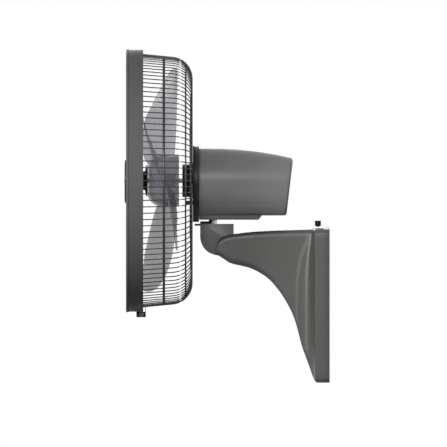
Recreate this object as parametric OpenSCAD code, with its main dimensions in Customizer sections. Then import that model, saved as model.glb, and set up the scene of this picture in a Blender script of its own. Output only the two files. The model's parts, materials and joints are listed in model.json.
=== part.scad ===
/* [Bracket] */
// How far the arm reaches out from the wall
arm_reach = 195; // [170:1:230]
// Height of the base on the wall
base_h = 261; // [230:1:300]
// How far the base reaches below the centre of its screws
base_drop = 130.9; // [110:0.1:150]
// Width of the base against the wall
base_w = 120; // [104:1:150]
// Width of the arm at its nose
arm_w = 60; // [58:1:70]
// Wall of the moulded shell
shell_wall = 3; // [2:0.5:4]
// Depth of the flat side of the base
base_side = 25; // [24:1:34]
// Rounding along the arm's edges
arm_round = 9; // [6:0.5:12]
// Width of the wall plate
plate_w = 100; // [90:1:104]
// Thickness of the wall plate
plate_t = 2.5; // [1.5:0.5:3]
// Width of the plate's top tab
tab_w = 38; // [30:1:44]
// Sideways distance between the wall screws
wall_screw_x = 80; // [60:1:84]
// Vertical distance between the wall screws
wall_screw_z = 170; // [140:1:190]
// Holes for the wall screws
wall_hole_d = 5.5; // [4:0.5:7]
// Width across the two steel cheeks inside the arm
frame_w = 53.4; // [52:0.1:56]
// Thickness of the steel cheeks
frame_t = 3; // [2:0.5:3.5]

/* [Tilt] */
// Tilt pin's distance from the wall
tilt_out = 174; // [172:1:176]
// Tilt pin's height
tilt_h = 103.1; // [101:0.1:105]
// Tilt pin's diameter
tilt_pin_d = 8; // [6:0.5:10]
// Width of the neck between the cheeks
neck_w = 45; // [40:1:45]
// Barrel of the neck around the tilt pin
barrel_d = 38; // [34:1:38]
// Height of the neck's top
neck_top = 139.1; // [138:0.1:140]
// Neck's front face from the wall
neck_front = 220.2; // [216:0.1:221]
// Neck's rear face from the wall
neck_rear = 163.2; // [162:0.1:168]

/* [Swing] */
// Swing axis from the wall
pivot_out = 198.5; // [196:0.5:200]
// Pivot post where it shows
post_d = 14; // [12:0.5:15]
// Journals of the pivot post inside the head
journal_d = 10; // [8:0.5:10]
// Sideways offset of the link's stud from the swing axis
stud_offset = 14; // [13:0.5:15]
// Stud's diameter
stud_d = 5; // [4:0.5:5.5]
// Swing to each side in degrees
swing_angle = 40; // [30:1:42]
// Swing motor's distance from the wall
gear_out = 140; // [136:1:142]

/* [Motor] */
// Height of the fan axis
axis_h = 212.5; // [211:0.5:214]
// Front face of the motor cover from the wall
cover_out = 232.6; // [232:0.1:234]
// Depth of the motor cover
cover_depth = 10.4; // [9:0.1:12]
// Motor cover's diameter
cover_d = 118; // [114:1:124]
// Motor housing's diameter at its front
housing_d = 111.4; // [110:0.1:114]
// Motor housing's width at its rear
housing_rear_w = 88; // [84:1:96]
// Wall of the motor housing
housing_wall = 2.5; // [2:0.1:3]
// Rear of the housing from the wall, at its top
housing_rear = 62; // [58:1:70]
// Stator diameter
stator_d = 84; // [80:1:84]
// Stator length
stator_len = 34; // [30:1:36]
// Rotor diameter
rotor_d = 47.2; // [40:0.1:48]
// Shaft diameter
shaft_d = 8; // [7:0.5:8]
// Bearing's outer diameter
bearing_d = 22; // [20:0.5:24]
// Bearing's width
bearing_w = 7; // [6:0.5:8]

/* [Blade] */
// Diameter that the blades sweep
sweep_d = 384; // [360:1:390]
// Number of blades
blade_n = 3; // [3:1:5]
// Hub diameter
hub_d = 88.4; // [80:0.1:96]
// Rear of the hub from the wall
hub_rear = 256.2; // [255:0.1:258]
// Depth of the hub
hub_depth = 53.5; // [50:0.5:56]
// Thickness of the blades
blade_t = 2.4; // [1.8:0.1:3]

/* [Guard] */
// Outer diameter of the guard ring
ring_d = 445.4; // [430:0.1:450]
// Depth of the guard ring
ring_depth = 29.25; // [28:0.05:34]
// Rear edge of the guard ring from the wall
ring_rear = 317.05; // [316:0.05:320]
// Wall of the guard ring
ring_wall = 1.5; // [1:0.1:2]
// Number of radial wires in each guard
wire_n = 120; // [60:12:132]
// Wire diameter
wire_d = 1.9; // [1.5:0.1:2.2]
// Diameter of the rim wires
rim_d = 4.4; // [3.5:0.1:4.6]
// Diameter of the thin support rings
hoop_d = 2.8; // [2:0.1:3.2]
// Back of the rear guard from the wall
guard_back = 232.9; // [232.6:0.1:234]
// Outside radius of the rear guard's corner
guard_corner = 37; // [30:1:40]
// Diameter of the badge on the front guard
badge_d = 77.4; // [70:0.1:84]

/* [Control panel] */
// Width of the control panel
panel_w = 52; // [48:1:56]
// Thickness of the control panel
panel_t = 2.2; // [1.8:0.1:2.6]
// Push button diameter
button_d = 11; // [8:0.5:12]
// Travel of the buttons
button_travel = 0.8; // [0.5:0.1:1]

/* [Hidden] */
$fn = 64;
// One overrun serves every cut
over = 1;
// Clearance between pieces that only pass each other
gap = 0.3;
// Radial clearance of a running fit and of a fixed one
running = 0.05;
fixed = 0.01;

// Shapes seen from the side are drawn as distance out from the wall against height
module side_slab(points, width)
  rotate([90, 0, -90]) linear_extrude(width, center = true) polygon(points);

// Shapes turned about the fan axis are drawn as radius against distance out from the wall
module turned(points)
  translate([0, 0, axis_h]) rotate([90, 0, 0]) rotate_extrude() polygon(points);

// A cylinder that stands out from the wall at a place and height
module outward(x, z, from, to, d)
  translate([x, -from, z]) rotate([90, 0, 0]) cylinder(h = to - from, d = d);

module axle(from, to, d) outward(0, axis_h, from, to, d);

module tube(from, to, d, bore)
  turned([[bore / 2, from], [d / 2, from], [d / 2, to], [bore / 2, to]]);

module ring(out, radius, d)
  translate([0, 0, axis_h]) rotate([90, 0, 0]) translate([0, 0, out])
    rotate_extrude($fn = 96) translate([radius, 0]) circle(d = d, $fn = 24);

// Copies around the fan axis
module around(n, start = 0)
  for (i = [0 : n - 1])
    translate([0, 0, axis_h]) rotate([0, start + i * 360 / n, 0]) translate([0, 0, -axis_h]) children();

module upright(x, out, from, to, d)
  translate([x, -out, from]) cylinder(h = to - from, d = d);

// A smooth curve through a table of shares
function part_of(x, t, i = 0) = i >= len(t) - 2 || x < t[i + 1].x ? i : part_of(x, t, i + 1);
function slope(t, i) =
  let (a = t[max(i - 1, 0)], b = t[min(i + 1, len(t) - 1)]) (b.y - a.y) / (b.x - a.x);
function curve(x, t) =
  let (i = part_of(x, t), a = t[i], b = t[i + 1], w = b.x - a.x, s = (x - a.x) / w, q = s * s, c = q * s)
    a.y * (2 * c - 3 * q + 1) + b.y * (3 * q - 2 * c)
      + w * (slope(t, i) * (c - 2 * q + s) + slope(t, i + 1) * (c - q));

// A closed skin over rings of points, all rings with as many points
module loft(rings) {
  n = len(rings[0]);
  m = len(rings);
  polyhedron(
    points = [for (r = rings) each r],
    faces = concat(
      [[for (i = [0 : n - 1]) i]],
      [for (j = [0 : m - 2]) for (i = [0 : n - 1]) each
        let (a = j * n + i, b = j * n + (i + 1) % n, c = a + n, d = b + n) [[a, c, b], [b, c, d]]],
      [[for (i = [n - 1 : -1 : 0]) (m - 1) * n + i]]));
}

// Bracket shell
top_shares = [[0, 1], [0.26, 0.996], [0.61, 0.986], [0.838, 0.970], [0.9, 0.961], [0.94, 0.949],
  [0.965, 0.934], [0.98, 0.912], [0.991, 0.866], [1, 0.835]];
low_shares = [[0, 0], [0.1, 0], [0.12, 0.004], [0.143, 0.032], [0.165, 0.0773], [0.192, 0.1332],
  [0.217, 0.185], [0.242, 0.2367], [0.303, 0.405], [0.355, 0.495], [0.433, 0.590], [0.52, 0.667],
  [0.608, 0.715], [0.695, 0.746], [0.782, 0.763], [0.869, 0.778], [0.922, 0.803], [0.975, 0.827], [1, 0.831]];
ring_shares = [0, 0.48, 0.86, 0.94, 1];
flare_rings = [0.01, 0.03, 0.08, 0.16, 0.28, 0.44, 0.6, 0.7, 0.8, 1];
arm_rings = 22;
arm_ring_power = 1.6;
nose_round_share = 0.476;
flare_far_share = 0.37;
// Towards the wall the arm steps out a little, then sweeps out to the side of the base. Both lines
// run upright low down and bend back to the wall at the top.
flare_step = 1.2;
flare_bevel = 5;
step_reach = 34;
sweep_reach = 20.5;
flare_tall = 137.4;
flare_back_share = 0.92;
flare_power = 3.3;
function arm_top(y) = base_h * curve(min(y / arm_reach, 1), top_shares) - base_drop;
function arm_low(y) = base_h * curve(min(y / arm_reach, 1), low_shares) - base_drop;
function limited(t) = max(0, min(1, t));
function flare_line(reach, z) =
  reach * (1 - flare_back_share * pow(limited(1 - (base_h - base_drop - z) / flare_tall), flare_power));
function sweep(t) = 1 - sqrt(1 - t * t);
function half_width(y, z) = arm_w / 2
  + flare_step * limited((base_side + flare_line(step_reach, z) - y) / flare_bevel)
  + (base_w / 2 - arm_w / 2 - flare_step) * sweep(limited(1 - (y - base_side) / flare_line(sweep_reach, z)));
// The inner skin stands back by the wall in every direction
function skin_top(y, wall) = min(arm_top(y) - wall, arm_top(y + wall));
function skin_low(y, wall) = max(arm_low(y) + wall, arm_low(y + wall));
function skin_width(y, z, wall) = min(half_width(y, z) - wall, half_width(y + wall, z));
function arm_half(y, wall) =
  let (top = skin_top(y, wall), low = skin_low(y, wall),
    r = min(arm_round - wall, (top - low) * nose_round_share))
    [for (a = [-90 : 22.5 : 0]) let (z = low + r + r * sin(a)) [skin_width(y, z, wall) - r * (1 - cos(a)), z],
     for (s = [1 : 6]) let (z = low + r + (top - low - 2 * r) * s / 7) [skin_width(y, z, wall), z],
     for (a = [0 : 22.5 : 90]) let (z = top - r + r * sin(a)) [skin_width(y, z, wall) - r * (1 - cos(a)), z]];
function arm_ring(y, wall) =
  let (h = arm_half(y, wall)) concat([for (p = h) [p.x, -y, p.y]],
    [for (i = [len(h) - 1 : -1 : 0]) [-h[i].x, -y, h[i].y]]);
// Rings stand closest where the shape turns fastest
flare_far = arm_reach * flare_far_share;
function arm_outs(last) = concat([for (s = ring_shares) s * base_side],
  [for (s = flare_rings) base_side + s * (flare_far - base_side)],
  [for (i = [1 : arm_rings]) flare_far + (last - flare_far) * (1 - pow(1 - i / arm_rings, arm_ring_power))]);
// The solid arm, or with a wall the hollow inside it, which opens at the wall
module arm_body(wall)
  loft([for (y = concat(wall > 0 ? [-over] : [], arm_outs(arm_reach - gap - 1.5 * wall))) arm_ring(y, wall)]);

// Levels and places on the bracket
base_top = base_h - base_drop;
plate_low = -118;
plate_top = 120;
tab_z = 131.3;
tab_t = 2.5;
tab_reach = 23.3;
tab_tip = 31;
knob_out = 20;
knob_d = 10.5;
knob_z = 135.5;
knob_h = 9;
knob_shank_d = 5;
knob_end = 121;
hook_x = 27;
hook_w = 12;
hook_z = -92;
hook_h = 9;
hook_t = 2.5;
flange_out = plate_t;
flange_w = 88;
flange_low = -110;
flange_high = 108;
web_z = 112;
web_end = 140;
tilt_at = [tilt_out, tilt_h];
module across_tilt(width, d)
  translate([0, -tilt_out, tilt_h]) rotate([0, 90, 0]) cylinder(h = width, d = d, center = true);

module lock_hole(d) upright(0, knob_out, knob_end - over, tab_z + 2 * tab_t + over, d);

module wall_plate() color("silver") {
  difference() {
    union() {
      translate([-plate_w / 2, -plate_t, plate_low]) cube([plate_w, plate_t, plate_top - plate_low]);
      translate([-tab_w / 2, -plate_t, plate_top]) cube([tab_w, plate_t, tab_z + tab_t - plate_top]);
      side_slab([[0, tab_z], [tab_reach, tab_z], [tab_tip - tab_t, base_top], [tab_tip, base_top],
        [tab_reach, tab_z + tab_t], [0, tab_z + tab_t]], tab_w);
    }
    for (x = [-1, 1]) for (z = [-1, 1])
      outward(x * wall_screw_x / 2, z * wall_screw_z / 2, -over, plate_t + over, wall_hole_d);
    lock_hole(knob_shank_d + 2 * gap);
  }
  // Two hooks that carry the arm's frame
  for (side = [-1, 1]) translate([side * hook_x - hook_w / 2, -cheek_rear - gap - hook_t, hook_z]) {
    cube([hook_w, frame_t + gap + hook_t, hook_t]);
    cube([hook_w, hook_t, hook_h]);
  }
}

// Side plates, rear flange and top web of the steel frame inside the arm
cheek_rear = plate_t + frame_t;
ear_d = 20;
frame_shares = [[0.2, 0.942], [0.78, 0.931], [0.892, 0.897], [0.84, 0.839], [0.62, 0.785], [0.48, 0.701],
  [0.36, 0.574], [0.28, 0.444]];
frame_top_share = 0.9;
frame_low_share = 0.272;
module arm_frame() color("dimgray") difference() {
  union() {
    for (side = [-1, 1]) translate([side * (frame_w - frame_t) / 2, 0, 0]) {
      side_slab(concat([[flange_out, frame_top_share * base_h - base_drop]],
        [for (p = frame_shares) [p.x * arm_reach, p.y * base_h - base_drop]],
        [[flange_out, frame_low_share * base_h - base_drop]]), frame_t);
      across_tilt(frame_t, ear_d);
    }
    translate([-flange_w / 2, -cheek_rear, flange_low]) cube([flange_w, frame_t, flange_high - flange_low]);
    translate([-frame_w / 2, -web_end, web_z]) cube([frame_w, web_end - flange_out, frame_t]);
  }
  across_tilt(frame_w + 2 * over, tilt_pin_d + 2 * fixed);
  // Holes that let the hooks through and then rest on them
  for (side = [-1, 1]) translate([side * hook_x - hook_w / 2 - gap, -cheek_rear - over, hook_z - hook_h - gap])
    cube([hook_w + 2 * gap, frame_t + 2 * over, hook_h + gap + hook_t + running]);
  for (side = [-1, 1]) for (z = shell_screw_z) {
    outward(side * shell_screw_x, z, flange_out - over, cheek_rear + over, shell_screw_d + 2 * gap);
    outward(side * shell_screw_x, z, flange_out - over, flange_out + shell_head_h + gap,
      shell_head_d + 2 * gap);
  }
}

// Screws that hold the shell on the frame, driven from behind into its posts
shell_screw_x = 38;
shell_screw_z = [-80, 90];
shell_screw_d = 3.5;
shell_head_d = 7;
shell_head_h = 1.8;
post_len = 22;
shell_post_d = 9;
module shell_screws() color("silver") for (side = [-1, 1]) for (z = shell_screw_z) {
  outward(side * shell_screw_x, z, flange_out + gap, cheek_rear + post_len / 2, shell_screw_d);
  outward(side * shell_screw_x, z, flange_out + gap, flange_out + gap + shell_head_h, shell_head_d);
}

slot_rear = 152;
slot_rear_low = 163;
slot_mid = 96;
slot_low = 60;
module bracket_shell() color("dimgray") difference() {
  union() {
    difference() {
      arm_body(0);
      arm_body(shell_wall);
    }
    // Posts for the frame's screws
    intersection() {
      for (side = [-1, 1]) for (z = shell_screw_z)
        outward(side * shell_screw_x, z, cheek_rear, base_side + post_len, shell_post_d);
      arm_body(0);
    }
    // Pad that carries the plate's tab
    translate([-tab_w / 2, -tab_reach, base_top - shell_wall / 2])
      cube([tab_w, tab_reach - 3 * shell_wall, tab_z - base_top + shell_wall / 2]);
  }
  // Slot for the neck
  side_slab([[slot_rear, base_top], [arm_reach + over, base_top], [arm_reach + over, slot_low],
    [slot_rear_low, slot_low], [slot_rear_low, slot_mid], [slot_rear, slot_mid]], frame_w - 2 * frame_t);
  // Notch for the wall plate's neck
  translate([-tab_w / 2 - gap, -plate_t - gap, base_top - 2 * shell_wall])
    cube([tab_w + 2 * gap, plate_t + gap + over, 4 * shell_wall]);
  lock_hole(knob_shank_d + 2 * gap);
  for (side = [-1, 1]) for (z = shell_screw_z)
    outward(side * shell_screw_x, z, cheek_rear - over, cheek_rear + post_len / 2 + gap,
      shell_screw_d + 2 * fixed);
  panel_prism(panel_w + 2 * gap, over, shell_wall * 2);
  cord_hole(grommet_d + 2 * fixed);
}

nut_h = 4.5;
nut_w = 9;
nut_top = arm_top(knob_out + nut_w / 2) - shell_wall - running;
module lock_nut() color("silver") difference() {
  upright(0, knob_out, nut_top - nut_h, nut_top, nut_w);
  lock_hole(knob_shank_d + 2 * running);
}

flute_n = 12;
flute_d = 1.2;
knob_foot = 1.5;
module lock_knob() color("black") difference() {
  union() {
    upright(0, knob_out, knob_z, knob_z + knob_h, knob_d);
    upright(0, knob_out, knob_end, knob_z, knob_shank_d);
  }
  for (i = [1 : flute_n]) translate([0, -knob_out, knob_z + knob_foot]) rotate([0, 0, i * 360 / flute_n])
    translate([knob_d / 2, 0, 0]) cylinder(h = knob_h, d = flute_d);
}

washer_d = 24;
module tilt_pin() color("silver") across_tilt(frame_w, tilt_pin_d);

washer_gap = 0.1;
module tilt_washers() color("gray") for (side = [-1, 1]) difference() {
  translate([side * ((neck_w + frame_w) / 4 - frame_t / 2 + washer_gap / 2), 0, 0])
    across_tilt((frame_w - neck_w) / 2 - frame_t - washer_gap, washer_d);
  across_tilt(frame_w, tilt_pin_d + 2 * fixed);
}

// The control panel follows the arm's lower edge, below the step
panel_from_share = 0.146;
panel_to_share = 0.239;
panel_mid_share = 0.192;
panel_steps = 8;
panel_outs = [for (i = [0 : panel_steps])
  arm_reach * (panel_from_share + (panel_to_share - panel_from_share) * i / panel_steps)];
panel_rise = arm_low(panel_outs[panel_steps]) - arm_low(panel_outs[0]);
panel_run = panel_outs[panel_steps] - panel_outs[0];
panel_long = sqrt(panel_rise * panel_rise + panel_run * panel_run);
// Outward direction of the panel, and its tilt from upright
panel_face = [panel_rise / panel_long, -panel_run / panel_long];
panel_lean = atan2(panel_run, panel_rise);
panel_mid = [arm_reach * panel_mid_share, arm_low(arm_reach * panel_mid_share)];
module panel_prism(width, above, below)
  side_slab(concat([for (y = panel_outs) [y, arm_low(y)] + above * panel_face],
    [for (i = [panel_steps : -1 : 0]) [panel_outs[i], arm_low(panel_outs[i])] - below * panel_face]), width);
// Moves to a place on the panel: across, up along it and depth below its face, with +Z pointing out
module on_panel(across, along, depth)
  translate([across, -panel_mid.x, panel_mid.y]) rotate([90 + panel_lean, 0, 0]) translate([0, along, -depth])
    children();

button_x = 11;
button_row = 9;
button_recess = 0.5;
button_rim = 1.2;
board_depth = 9;
board_t = 1.6;
board_w = 46;
board_h = 40;
board_peg_d = 4.4;
board_peg_x = 20;
board_peg_y = 17;
window_w = 12;
window_h = 6;
window_up = 22;
lens_d = 2.6;
lens_pitch = 7;
lens_down = -22;
button_places = [for (y = [1, -1]) for (x = [-1, 1]) [x * button_x, y * button_row]];
lens_places = [for (i = [-1 : 1]) [i * lens_pitch, lens_down]];

module control_panel() color("dimgray") {
  difference() {
    panel_prism(panel_w, 0, panel_t);
    for (p = button_places) on_panel(p.x, p.y, 2 * panel_t) cylinder(h = 3 * panel_t, d = button_d + 2 * gap);
    for (p = lens_places) on_panel(p.x, p.y, 2 * panel_t) cylinder(h = 3 * panel_t, d = lens_d + 2 * fixed);
    on_panel(-window_w / 2 - fixed, window_up - window_h / 2 - fixed, 2 * panel_t)
      cube([window_w + 2 * fixed, window_h + 2 * fixed, 3 * panel_t]);
  }
  // Pegs that carry the circuit board
  for (x = [-1, 1]) for (y = [-1, 1])
    on_panel(x * board_peg_x, y * board_peg_y, board_depth)
      cylinder(h = board_depth - panel_t / 2 - button_recess, d = board_peg_d);
}

module control_board() color("darkgreen")
  on_panel(-board_w / 2, -board_h / 2, board_depth + board_t) cube([board_w, board_h, board_t]);

switch_w = 6;
switch_h = 3.4;
switch_gap = 0.1;
button_stem_d = 4;
module board_switches() color("black")
  for (p = button_places) on_panel(p.x - switch_w / 2, p.y - switch_w / 2, board_depth)
    cube([switch_w, switch_w, switch_h]);

module push_button(p) color("gray") on_panel(p.x, p.y, 0) {
  translate([0, 0, -panel_t - button_rim]) cylinder(h = panel_t + button_rim - button_recess, d = button_d);
  translate([0, 0, -panel_t - gap - button_rim]) cylinder(h = button_rim, d = button_d + 2 * button_rim);
  translate([0, 0, -board_depth + switch_h + button_travel + switch_gap])
    cylinder(h = board_depth - switch_h - button_travel - switch_gap - panel_t, d = button_stem_d);
}
module power_button() push_button(button_places[0]);
module speed_button() push_button(button_places[1]);
module swing_button() push_button(button_places[2]);
module timer_button() push_button(button_places[3]);

window_proud = 0.2;
module receiver_window() color("darkred")
  on_panel(-window_w / 2, window_up - window_h / 2, panel_t + window_proud)
    cube([window_w, window_h, panel_t]);

module indicator_lenses() color("darkgreen")
  for (p = lens_places) on_panel(p.x, p.y, panel_t + window_proud) cylinder(h = panel_t, d = lens_d);

terminal_w = 30;
terminal_h = 14;
terminal_depth = 12;
terminal_z = -48;
terminal_end = cheek_rear + terminal_depth;
module terminal_block() color("ivory") difference() {
  translate([-terminal_w / 2, -terminal_end, terminal_z]) cube([terminal_w, terminal_depth, terminal_h]);
  for (i = [-1 : 1])
    outward(i * terminal_w / 4, terminal_z + terminal_h / 2, terminal_end - terminal_h / 4, terminal_end + over,
      terminal_h / 3);
}

// Rubber grommet in the floor of the base, where the mains lead would enter
grommet_out = 10;
grommet_d = 12;
grommet_h = 6;
lead_d = 7;
module cord_hole(d) translate([0, -grommet_out, -base_drop - over]) cylinder(h = shell_wall + 2 * over, d = d);
module cord_grommet() color("black") difference() {
  union() {
    upright(0, grommet_out, -base_drop, -base_drop + grommet_h, grommet_d);
    upright(0, grommet_out, -base_drop + shell_wall, -base_drop + grommet_h, grommet_d + shell_wall);
  }
  upright(0, grommet_out, -base_drop - over, over, lead_d);
}

// Neck, seen from the side, with its seat for the clamp screw square to the tilt pin
neck_low = 86;
neck_h = neck_top - neck_low;
neck_deep = neck_front - neck_rear;
seat_angle = 28.6;
seat_reach = 22;
seat_run = 8.8;
clamp_head_d = 16;
clamp_head_h = 4.5;
clamp_shank_d = 6;
neck_shares = [[0, 1], [0, 0.54], [0.03, 0.395], [0.09, 0.26], [0.15, 0.18], [0.24, 0.095], [0.3, 0.06],
  [0.415, 0.013], [0.46, 0]];
seat_mid = tilt_at + seat_reach * [sin(seat_angle), -cos(seat_angle)];
seat_dir = [cos(seat_angle), sin(seat_angle)];
step_w = 16;
step_rear = 204.8;
step_h = 4.4;
module neck_profile() side_slab(concat(
  [for (p = neck_shares) [neck_front - p.x * neck_deep, neck_top - neck_h * (1 - p.y)]],
  [seat_mid + seat_run * seat_dir, seat_mid - seat_run * seat_dir, [tilt_out - barrel_d / 4, tilt_h],
   [neck_rear, tilt_h + barrel_d / 4], [neck_rear, neck_top]]), neck_w);
post_low = 100;
set_screw_d = 3.4;
set_screw_z = 137.5;
module neck_housing() color("dimgray") difference() {
  union() {
    neck_profile();
    across_tilt(neck_w, barrel_d);
    translate([-step_w / 2, -neck_front, neck_top - over])
      cube([step_w, neck_front - step_rear, step_h + over]);
  }
  across_tilt(neck_w + 2 * over, tilt_pin_d + 2 * running);
  upright(0, pivot_out, post_low, neck_top + step_h + over, post_d + 2 * fixed);
  upright(stud_offset, pivot_out, neck_top - stud_in, neck_top + over, stud_d + 2 * fixed);
  outward(0, set_screw_z, pivot_out, neck_front + over, set_screw_d + 2 * fixed);
  // Bore for the clamp screw
  translate([0, -tilt_out, tilt_h]) rotate([seat_angle, 0, 0]) mirror([0, 0, 1])
    cylinder(h = seat_reach + over, d = clamp_shank_d + 2 * fixed);
}

// Domed screw that clamps the neck on the tilt pin
module tilt_clamp_screw() color("silver")
  translate([0, -tilt_out, tilt_h]) rotate([seat_angle, 0, 0]) mirror([0, 0, 1]) {
    translate([0, 0, tilt_pin_d / 2 + gap]) cylinder(h = seat_reach - tilt_pin_d / 2 - gap, d = clamp_shank_d);
    translate([0, 0, seat_reach]) rotate_extrude()
      polygon(concat([[0, 0]], [for (a = [0 : 9 : 90]) [clamp_head_d / 2 * cos(a), clamp_head_h * sin(a)]]));
  }

// Pivot post, fixed in the neck, that carries the head
tray_z = 146;
tray_top = 153.3;
tray_t = 2;
shoulder_z = 145;
post_end = 166.4;
clip_z = 149.5;
clip_h = 0.6;
clip_groove = 1;
stud_in = 12;
link_z = 150.6;
link_h = 1.4;
module pivot_post() color("silver") difference() {
  union() {
    upright(0, pivot_out, post_low, shoulder_z, post_d);
    upright(0, pivot_out, shoulder_z - over, post_end, journal_d);
  }
  difference() {
    upright(0, pivot_out, clip_z - running, clip_z + clip_h + running, journal_d + 2 * over);
    upright(0, pivot_out, clip_z - over, clip_z + 2 * over, journal_d - 2 * clip_groove);
  }
}

module thrust_washer() color("goldenrod") difference() {
  upright(0, pivot_out, shoulder_z, tray_z - 2 * running, post_d);
  upright(0, pivot_out, shoulder_z - over, tray_z + over, journal_d + 2 * running);
}

set_screw_out = 229.5;
module pivot_set_screw() color("black")
  outward(0, set_screw_z, pivot_out + post_d / 2 + running, set_screw_out, set_screw_d);

module link_stud() color("silver")
  upright(stud_offset, pivot_out, neck_top - stud_in, link_z - gap, stud_d);

// Swing tray under the motor housing
tray_w = 76;
tray_front = 222;
tray_rear = 121;
tray_rear_top = 115;
bush_d = 14;
bush_top = 149;
slot_margin = 13;
slot_room = 2;
slot_w = stud_d + slot_room;
standoff_x = 27.5;
standoff_d = 7;
ear_z = 156.2;
tray_screw_x = 32;
tray_screw_outs = [128, 208];
tray_screw_d = 3;
tray_screw_head = 5.6;
tray_post_d = 9;
skirt_screw_x = 26;
skirt_screw_z = (tray_z + tray_t + tray_top) / 2;
skirt_screw_head = 5;
skirt_screw_end = 228;
module swing_plate() color("dimgray") difference() {
  union() {
    difference() {
      side_slab([[tray_front, tray_z], [tray_rear, tray_z], [tray_rear_top, tray_top],
        [tray_front, tray_top]], tray_w);
      side_slab([[tray_front - tray_t, tray_z + tray_t], [tray_rear + tray_t / 2, tray_z + tray_t],
        [tray_rear_top + tray_t, tray_top + over], [tray_front - tray_t, tray_top + over]],
        tray_w - 2 * tray_t);
    }
    for (side = [-1, 1]) upright(side * standoff_x, gear_out, tray_z, ear_z, standoff_d);
    for (side = [-1, 1]) for (y = tray_screw_outs)
      upright(side * tray_screw_x, y, tray_z, tray_top, tray_post_d);
  }
  upright(0, pivot_out, tray_z - over, tray_top, bush_d + 2 * fixed);
  // Curved slot for the link's stud
  translate([0, -pivot_out, tray_z - over]) {
    rotate([0, 0, -swing_angle - slot_margin]) rotate_extrude(angle = 2 * (swing_angle + slot_margin))
      translate([stud_offset - slot_w / 2, 0]) square([slot_w, tray_t + 2 * over]);
  }
  for (side = [-1, 1]) {
    upright(side * standoff_x, gear_out, tray_z - over, ear_z + over, gear_screw_d + 2 * fixed);
    outward(side * skirt_screw_x, skirt_screw_z, tray_front - tray_t - over, tray_front + over,
      tray_screw_d + 2 * fixed);
    for (y = tray_screw_outs) {
      upright(side * tray_screw_x, y, tray_z - over, tray_top + over, tray_screw_d + 2 * fixed);
      upright(side * tray_screw_x, y, tray_z - over, tray_z + tray_t, tray_screw_head + 2 * gap);
    }
  }
}

// Screws up into the housing, forward into the cover's skirt, and down through the swing motor's ears
module tray_screws() color("black") for (side = [-1, 1]) {
  for (y = tray_screw_outs) {
    upright(side * tray_screw_x, y, tray_z + gap, tray_z + tray_t, tray_screw_head);
    upright(side * tray_screw_x, y, tray_z + gap, tray_top + housing_wall, tray_screw_d);
  }
  outward(side * skirt_screw_x, skirt_screw_z, tray_front - 2 * tray_t, tray_front - tray_t, skirt_screw_head);
  outward(side * skirt_screw_x, skirt_screw_z, tray_front - 2 * tray_t, skirt_screw_end, tray_screw_d);
  upright(side * standoff_x, gear_out, tray_z + tray_t, ear_z + ear_t, gear_screw_d);
  upright(side * standoff_x, gear_out, ear_z + ear_t, ear_z + ear_t + gear_screw_d / 2, 2 * gear_screw_d);
}

// Two bushes: one in the tray, one in the boss under the motor
module pivot_bushes() color("goldenrod") difference() {
  union() {
    upright(0, pivot_out, tray_z, bush_top, bush_d);
    upright(0, pivot_out, boss_low, post_end, upper_bush_d);
  }
  upright(0, pivot_out, tray_z - over, post_end + over, journal_d + 2 * running);
}

clip_d = 13;
module pivot_clip() color("black") difference() {
  upright(0, pivot_out, clip_z, clip_z + clip_h, clip_d);
  upright(0, pivot_out, clip_z - over, clip_z + over, journal_d - 2 * clip_groove + 2 * fixed);
  translate([-journal_d / 3, -pivot_out, clip_z - over]) cube([2 * journal_d / 3, bush_d, 2 * over + clip_h]);
}

// Small geared motor that turns the crank
gear_d = 46;
gear_h = 12;
ear_t = 1.2;
ear_w = 9;
crank_r = stud_offset * sin(swing_angle);
crank_x = stud_offset - crank_r;
gear_shaft_d = 5;
gear_screw_d = 3;
crank_z = 152.4;
crank_h = 3;
crank_rim = 3.5;
crank_d = 2 * (crank_r + crank_rim);
module swing_motor() color("gainsboro") {
  difference() {
    union() {
      upright(0, gear_out, ear_z, ear_z + gear_h, gear_d);
      translate([-standoff_x - ear_w / 2, -gear_out - ear_w / 2, ear_z])
        cube([2 * standoff_x + ear_w, ear_w, ear_t]);
    }
    for (side = [-1, 1])
      upright(side * standoff_x, gear_out, ear_z - over, ear_z + ear_t + over, gear_screw_d + 2 * gap);
  }
  upright(crank_x, gear_out, crank_z, ear_z, gear_shaft_d);
}

pin_d = 4;
module crank() color("silver") difference() {
  union() {
    upright(crank_x, gear_out, crank_z, crank_z + crank_h, crank_d);
    upright(stud_offset, gear_out, link_z - gap, crank_z + over, pin_d);
  }
  upright(crank_x, gear_out, crank_z - over, crank_z + crank_h + over, gear_shaft_d + 2 * running);
}

// The link bows aside to clear the post at the ends of the swing
link_w = 7;
link_bow = 4.7;
link_shares = [[0, 0], [0.4, 0], [0.66, 1], [0.9, 1], [1, 0]];
link_line = [for (p = link_shares) [stud_offset + p.y * link_bow, p.x * (gear_out - pivot_out) - gear_out]];
module drive_link() color("silver") difference() {
  union() {
    upright(stud_offset, gear_out, link_z, link_z + link_h, link_w);
    upright(stud_offset, pivot_out, link_z, link_z + link_h, link_w);
    translate([0, 0, link_z]) linear_extrude(link_h) polygon(concat(
      [for (p = link_line) [p.x - link_w / 2, p.y]], [for (p = reversed(link_line)) [p.x + link_w / 2, p.y]]));
  }
  upright(stud_offset, gear_out, link_z - over, link_z + 2 * link_h, pin_d + 2 * running);
  upright(stud_offset, pivot_out, link_z - over, link_z + 2 * link_h, stud_d + gap);
}

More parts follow.
